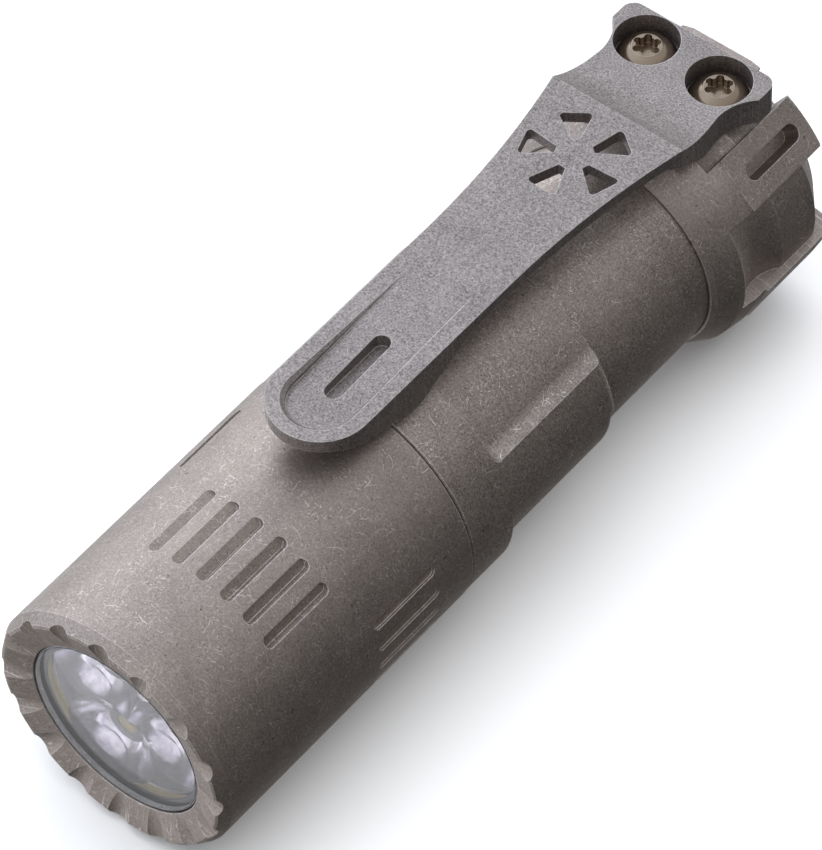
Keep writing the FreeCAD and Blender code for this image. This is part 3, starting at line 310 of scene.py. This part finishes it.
def dress_cad_nodes():
    for material, names in (
            (body_titanium(), ("head_shell", "tail_cap", "tail_button")),
            (tube_titanium(), ("body_tube",)),
            (clip_titanium(), ("pocket_clip",)),
            (polished_metal("bronzed_steel", (0.31, 0.245, 0.185), 0.22),
             ("clip_screws", "board_screws")),
            (clear("window_glass", (1.0, 0.985, 1.0), 0.01, 1.45), ("window_glass",)),
            (moulded("black_rubber", (0.02, 0.02, 0.02), 0.55),
             ("window_gasket", "neck_seal", "tail_seal", "button_seal")),
            (moulded("spacer_plastic", (0.75, 0.75, 0.72), 0.5), ("optic_spacer",)),
            (moulded("phosphor", (0.80, 0.62, 0.12), 0.4),
             ("led_emitter_1", "led_emitter_2", "led_emitter_3")),
            (moulded("white_board", (0.75, 0.75, 0.73), 0.45), ("led_board",)),
            (moulded("green_board", (0.02, 0.13, 0.05), 0.35), ("driver_board", "switch_board")),
            (polished_metal("copper", (0.80, 0.42, 0.28), 0.32), ("heat_sink",)),
            (polished_metal("brass", (0.75, 0.58, 0.28), 0.30),
             ("driver_retaining_ring", "switch_retaining_ring")),
            (polished_metal("spring_wire", (0.72, 0.66, 0.52), 0.25),
             ("front_contact_spring", "tail_contact_spring")),
            (moulded("lead_insulation", (0.45, 0.03, 0.02), 0.5),
             ("lead_positive", "lead_negative")),
            (polished_metal("nickel", (0.66, 0.66, 0.66), 0.28),
             ("battery_can", "battery_button")),
            (moulded("cell_wrap", (0.03, 0.12, 0.32), 0.3), ("battery_wrap",)),
            (moulded("insulator_card", (0.80, 0.79, 0.75), 0.7), ("battery_insulator",)),
            (moulded("switch_plastic", (0.03, 0.03, 0.035), 0.45),
             ("switch_module", "switch_plunger"))):
        for name in names:
            dress(name, material)


# ---------------------------------------------------------------- lens pieces

GLASS_LOW, GLASS_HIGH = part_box("window_glass")
OPTIC_LOW, OPTIC_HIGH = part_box("triple_optic")
GLASS_R = (GLASS_HIGH.x - GLASS_LOW.x) / 2
# The three lobes have their middles on a ring round the axis, at angles that count from +Z.
LOBE_RING, LOBE_R, LOBE_FOOT_R = 4.75 * MM, 4.85 * MM, 1.9 * MM
LOBE_ANGLES = [math.radians(83 + 120 * number) for number in range(3)]
# The planes that part the lobes stand at this angle on either side of each one.
LOBE_HALF = math.radians(60)
DIMPLE_R, DIMPLE_DEPTH = 2.1 * MM, 0.28 * MM
BLOCK_R, HOLDER_R = 9.75 * MM, 9.9 * MM


def new_piece(name, mesh_data, material, body):
    """Turn a bmesh into an object that rides on a body."""
    mesh = bpy.data.meshes.new(name)
    mesh_data.to_mesh(mesh)
    mesh_data.free()
    for face in mesh.polygons:
        face.use_smooth = True
    piece = bpy.data.objects.new(name, mesh)
    bpy.context.scene.collection.objects.link(piece)
    mesh.materials.append(material)
    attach(piece, body)
    return piece


def at_lens(x, z, y):
    """A point given from the barrel's axis."""
    return (x, y, z + AXIS_Z)


def lobe_reach(turn):
    """How far a lobe reaches in a direction before the plane that parts it from the next."""
    limit = LOBE_R
    for side in (-1, 1):
        lean = side * math.sin(turn) * math.cos(LOBE_HALF) - math.cos(turn) * math.sin(LOBE_HALF)
        if lean > 1e-6:
            limit = min(limit, LOBE_RING * math.sin(LOBE_HALF) / lean)
    return limit


def lens_circle(radius, y, count):
    """A row of points round the barrel's axis."""
    turns = [2 * math.pi * number / count for number in range(count)]
    return [at_lens(radius * math.sin(turn), radius * math.cos(turn), y) for turn in turns]


def add_sheet(mesh, rows):
    """Join rows of points that each go round once, and return their vertices."""
    made = [[mesh.verts.new(point) for point in row] for row in rows]
    count = len(made[0])
    for first, second in zip(made, made[1:]):
        for number in range(count):
            following = (number + 1) % count
            mesh.faces.new((first[number], first[following],
                            second[following], second[number]))
    return made


def make_reflectors(material):
    """Three deep silvered bowls, clipped where they meet."""
    mesh = bmesh.new()
    steps, count = 22, 120
    front, rear = OPTIC_LOW.y + 0.45 * MM, OPTIC_HIGH.y - 0.3 * MM
    for lobe in LOBE_ANGLES:
        cx, cz = LOBE_RING * math.sin(lobe), LOBE_RING * math.cos(lobe)
        rows = []
        for step in range(steps + 1):
            share = step / steps
            radius = LOBE_FOOT_R + (LOBE_R - LOBE_FOOT_R) * share
            row = []
            for number in range(count):
                turn = 2 * math.pi * number / count
                reach = min(radius, lobe_reach(turn))
                depth = (reach ** 2 - LOBE_FOOT_R ** 2) / (LOBE_R ** 2 - LOBE_FOOT_R ** 2)
                y = rear + (front - rear) * depth
                angle = lobe + turn
                row.append(at_lens(cx + reach * math.sin(angle), cz + reach * math.cos(angle), y))
            rows.append(row)
        add_sheet(mesh, rows)
    bmesh.ops.remove_doubles(mesh, verts=mesh.verts, dist=0.004 * MM)
    return new_piece("optic_reflectors", mesh, material, "head")


def make_optic_face(material):
    """The clear block round the bowls, with a shallow dimple in front of each."""
    mesh = bmesh.new()
    rings, count = 46, 180
    rows = []
    for step in range(1, rings + 1):
        radius = BLOCK_R * step / rings
        row = []
        for number in range(count):
            turn = 2 * math.pi * number / count
            x, z = radius * math.sin(turn), radius * math.cos(turn)
            sink = 0.0
            for lobe in LOBE_ANGLES:
                away = math.hypot(x - LOBE_RING * math.sin(lobe), z - LOBE_RING * math.cos(lobe))
                sink = max(sink, DIMPLE_DEPTH * (1 - (away / DIMPLE_R) ** 2))
            row.append(at_lens(x, z, OPTIC_LOW.y + sink))
        rows.append(row)
    rows.append(lens_circle(BLOCK_R, OPTIC_HIGH.y, count))
    made = add_sheet(mesh, rows)
    mesh.faces.new(made[0])
    mesh.faces.new(made[-1])
    bmesh.ops.recalc_face_normals(mesh, faces=mesh.faces)
    return new_piece("optic_face", mesh, material, "head")


def make_optic_holder(material):
    """The dark cup that carries the optic, open towards the window; its near-black colour is
    painted shade for the deep cavity round the optic.
    """
    mesh = bmesh.new()
    front, rear, floor_r = OPTIC_LOW.y + 0.1 * MM, OPTIC_HIGH.y + 0.03 * MM, 0.4 * MM
    profile = [(HOLDER_R, front), (HOLDER_R, rear), (floor_r, rear)]
    made = add_sheet(mesh, [lens_circle(radius, y, 120) for radius, y in profile])
    mesh.faces.new(made[-1])
    bmesh.ops.recalc_face_normals(mesh, faces=mesh.faces)
    return new_piece("optic_holder", mesh, material, "head")


def make_glass_edge(material):
    """The ground edge of the window, seen through its front."""
    mesh = bmesh.new()
    outer, inner = GLASS_R - 0.02 * MM, GLASS_R - 0.20 * MM
    front, rear = GLASS_LOW.y + 0.10 * MM, GLASS_HIGH.y - 0.05 * MM
    bevel_in, bevel_back = 0.14 * MM, 0.18 * MM
    profile = [(inner, rear), (outer, rear), (outer, front + bevel_back),
               (outer - bevel_in, front), (inner, rear)]
    add_sheet(mesh, [lens_circle(radius, y, 180) for radius, y in profile])
    bmesh.ops.recalc_face_normals(mesh, faces=mesh.faces)
    return new_piece("window_ground_edge", mesh, material, "head")


def reflector_silver():
    """A lavender silvered bowl with faint streaks that run to its foot."""
    g = Graph("reflector_silver")
    place = g.place()
    streak = g.noise(g.vector_math("MULTIPLY", place, (1, 0.12, 1)), 2600, 3, 0.6)
    cloud = g.noise(place, 420, 3, 0.6)
    tint = g.mix(g.smooth(cloud, 0.40, 0.60), (0.72, 0.69, 0.76), (0.96, 0.94, 0.98))
    tint = g.mix(g.smooth(streak, 0.50, 0.72, 0.0, 0.8), tint, (1.0, 1.0, 1.0))
    g.set(Base_Color=tint, Metallic=0.9,
          Roughness=g.math("ADD", g.math("MULTIPLY", streak, 0.2), 0.02),
          Normal=g.bump(streak, 0.3, 0.03 * MM))
    return g.material


def ground_glass():
    """Ground glass: grey white, with bright specks painted into its colour, partly scuffs and
    partly painted highlight.
    """
    g = Graph("ground_glass")
    place = g.place()
    # Near-white specks painted into the colour: partly scuffs, partly painted highlight.
    scuff_and_glint_specks = g.smooth(g.noise(place, 3600, 2, 0.7), 0.58, 0.72)
    band = g.smooth(g.noise(place, 500, 3, 0.6), 0.35, 0.7)
    tint = g.mix(band, (0.36, 0.355, 0.36), (0.50, 0.49, 0.50))
    g.set(Base_Color=g.mix(scuff_and_glint_specks, tint, (0.90, 0.89, 0.90)), Roughness=0.5,
          Normal=g.bump(scuff_and_glint_specks, 0.5, 0.03 * MM))
    return g.material


def make_lens_pieces():
    face = make_optic_face(clear("optic_face_clear", (0.98, 0.97, 0.99), 0.03, 1.49))
    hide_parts("triple_optic")
    make_reflectors(reflector_silver())
    # The holder's near-black olive colour is painted shade for the cavity round the optic.
    make_optic_holder(moulded("holder_painted_shade", (0.060, 0.060, 0.052), 0.5))
    make_glass_edge(ground_glass())


# ---------------------------------------------------------------- camera, floor and light

# The camera that was fitted to the photograph. LENS and SENSOR are in millimetres.
AZIMUTH, ELEVATION, ROLL = (math.radians(angle) for angle in (41.197, 51.275, -2.578))
DISTANCE = 0.470987
AIM_RIGHT, AIM_UP = 0.024746, 0.025512
RIM_TO_FRONT = 1.2 * MM
LENS, SENSOR = 236.6, 36.0


def make_camera():
    """A long lens at the photograph's angle, aimed beside the head's rim."""
    right = Vector((math.cos(AZIMUTH), math.sin(AZIMUTH), 0))
    back = Vector((math.sin(AZIMUTH) * math.cos(ELEVATION),
                   -math.cos(AZIMUTH) * math.cos(ELEVATION), math.sin(ELEVATION)))
    up = back.cross(right)
    rolled_right = right * math.cos(ROLL) + up * math.sin(ROLL)
    rolled_up = up * math.cos(ROLL) - right * math.sin(ROLL)
    rim = Vector((0, FRONT_Y + RIM_TO_FRONT, AXIS_Z))
    place = rim + rolled_right * AIM_RIGHT + rolled_up * AIM_UP + back * DISTANCE
    data = bpy.data.cameras.new("camera")
    data.sensor_fit = "VERTICAL"
    data.sensor_height = SENSOR
    data.lens = LENS
    data.clip_start = 0.01
    camera = bpy.data.objects.new("camera", data)
    turn = Matrix((rolled_right, rolled_up, back)).transposed().to_4x4()
    camera.matrix_world = Matrix.Translation(place) @ turn
    bpy.context.scene.collection.objects.link(camera)
    bpy.context.scene.camera = camera


def make_floor():
    mesh = bpy.data.meshes.new("floor")
    half, drop = 1.5, 0.2 * MM
    mesh.from_pydata([(-half, -half, 0), (half, -half, 0), (half, half, 0), (-half, half, 0)],
                     [], [(0, 1, 2, 3)])
    floor = bpy.data.objects.new("floor", mesh)
    floor.location.z = -drop
    bpy.context.scene.collection.objects.link(floor)
    g = Graph("pale_floor")
    g.set(Base_Color=(0.92, 0.92, 0.92, 1), Roughness=0.9)
    mesh.materials.append(g.material)
    floor.visible_glossy = False


def area_light(name, place, size, power):
    """A square light that faces the origin."""
    data = bpy.data.lights.new(name, "AREA")
    data.size = size
    data.energy = power
    light = bpy.data.objects.new(name, data)
    light.location = place
    light.rotation_euler = (-Vector(place)).to_track_quat("-Z", "Y").to_euler()
    bpy.context.scene.collection.objects.link(light)
    return light


# Which way the studio is bright, and its colour from the dark side (0) to the bright one (1).
BRIGHT_SIDE = (-0.8, 0.0, 0.6)
STUDIO = [(0.0, (0.055, 0.055, 0.055)), (0.10, (0.08, 0.08, 0.08)), (0.30, (0.36, 0.36, 0.36)),
          (0.53, (0.70, 0.71, 0.73)), (0.76, (0.84, 0.88, 0.93)), (0.93, (1.12, 1.20, 1.34))]


def make_world():
    """A soft studio, bright on the photograph's upper left and dark on its lower right."""
    world = bpy.data.worlds.new("studio")
    world.use_nodes = True
    tree = world.node_tree
    tree.nodes.clear()
    coordinates = tree.nodes.new("ShaderNodeTexCoord")
    side = tree.nodes.new("ShaderNodeVectorMath")
    side.operation = "DOT_PRODUCT"
    side.inputs[1].default_value = BRIGHT_SIDE
    share = tree.nodes.new("ShaderNodeMath")
    share.operation = "MULTIPLY_ADD"
    share.inputs[1].default_value = 0.5
    share.inputs[2].default_value = 0.5
    ramp = tree.nodes.new("ShaderNodeValToRGB")
    elements = ramp.color_ramp.elements
    while len(elements) < len(STUDIO):
        elements.new(0.5)
    for element, (place, colour) in zip(elements, STUDIO):
        element.position = place
        element.color = (*colour, 1)
    background = tree.nodes.new("ShaderNodeBackground")
    out = tree.nodes.new("ShaderNodeOutputWorld")
    tree.links.new(coordinates.outputs["Generated"], side.inputs[0])
    tree.links.new(side.outputs["Value"], share.inputs[0])
    tree.links.new(share.outputs[0], ramp.inputs[0])
    tree.links.new(ramp.outputs[0], background.inputs["Color"])
    tree.links.new(background.outputs[0], out.inputs["Surface"])
    bpy.context.scene.world = world


def make_lights():
    area_light("key", (-0.60, 0.35, 0.30), 0.5, 0.7)
    over = area_light("overhead", (0.0, 0.0, 1.2), 1.6, 14.0)
    over.visible_glossy = False


dress_cad_nodes()
make_lens_pieces()
make_camera()
make_floor()
make_world()
make_lights()
bpy.context.scene.view_settings.view_transform = "Standard"
